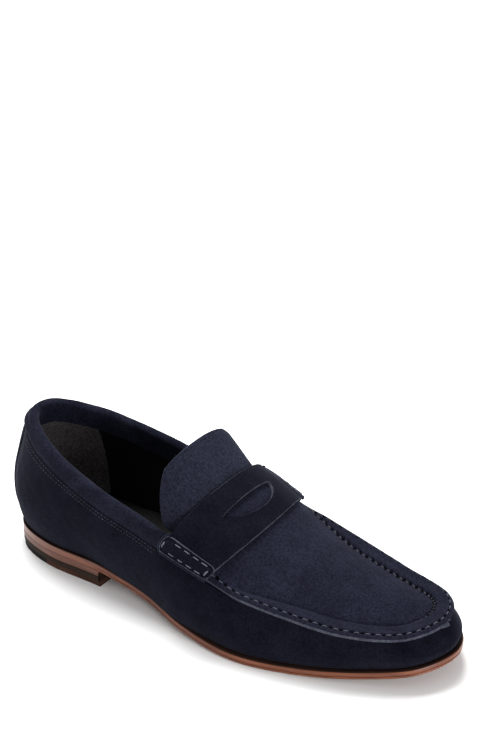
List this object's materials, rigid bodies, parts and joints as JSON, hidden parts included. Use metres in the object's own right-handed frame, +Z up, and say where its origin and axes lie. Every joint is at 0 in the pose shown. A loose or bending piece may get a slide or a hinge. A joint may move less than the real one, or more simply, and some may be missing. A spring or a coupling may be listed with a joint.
{
  "type": "penny loafer",
  "caption": "Right penny loafer in suede: moccasin apron, saddle strap with a coin slot, padded collar, leather sole and low stacked heel.",
  "frame": {"origin": "on the ground, under the middle of the shoe's length and width", "axes": "+X towards the toe, +Y towards the inner (medial) side of the foot, +Z up"},
  "size_m": [0.2992, 0.106, 0.1013],
  "materials": {
    "navy_suede": "soft brushed nap",
    "black_leather": "smooth lining leather",
    "heel_suede": "suede, nap towards the foot",
    "lining_cloth": "twill lining",
    "sole_leather": "polished brown edge",
    "dark_lift": "dark stained edge",
    "rubber": "matte",
    "board": "fibre board",
    "cork": "granular",
    "foam": "open foam",
    "stiffener": "bonded fibre",
    "steel": "rolled",
    "brass": "drawn"
  },
  "bodies": {
    "shoe": {"outsole": "sole_leather", "heel_nail_1": "brass", "heel_nail_2": "brass", "heel_nail_3": "brass", "heel_nail_4": "brass", "heel_nail_5": "brass", "heel_nail_6": "brass", "heel_lift_upper": "sole_leather", "heel_lift_lower": "dark_lift", "top_piece_leather": "sole_leather", "top_piece_rubber": "rubber", "insole_board": "board", "sock_liner": "black_leather", "shank": "steel", "cork_filler": "cork", "moccasin_wall": "navy_suede", "back_strip": "navy_suede", "heel_counter": "stiffener", "toe_stiffener": "stiffener", "heel_grip": "heel_suede", "quarter_lining_outer": "black_leather", "quarter_lining_inner": "black_leather", "vamp_lining": "lining_cloth", "collar_binding": "navy_suede", "collar_foam": "foam", "apron": "navy_suede", "apron_lining": "lining_cloth", "saddle_strap": "navy_suede", "strap_tab_outer": "navy_suede", "strap_tab_inner": "navy_suede"},
    "tongue_flap": {"tongue": "navy_suede", "tongue_lining": "black_leather"}
  },
  "joints": [
    {"name": "tongue_flex", "type": "hinge", "parent": "shoe", "child": "tongue_flap", "pos_m": [0.003, 0, 0.081], "axis": [0, 1, 0], "range_deg": [-6, 18], "stiffness_Nm_per_rad": 0.12}
  ]
}
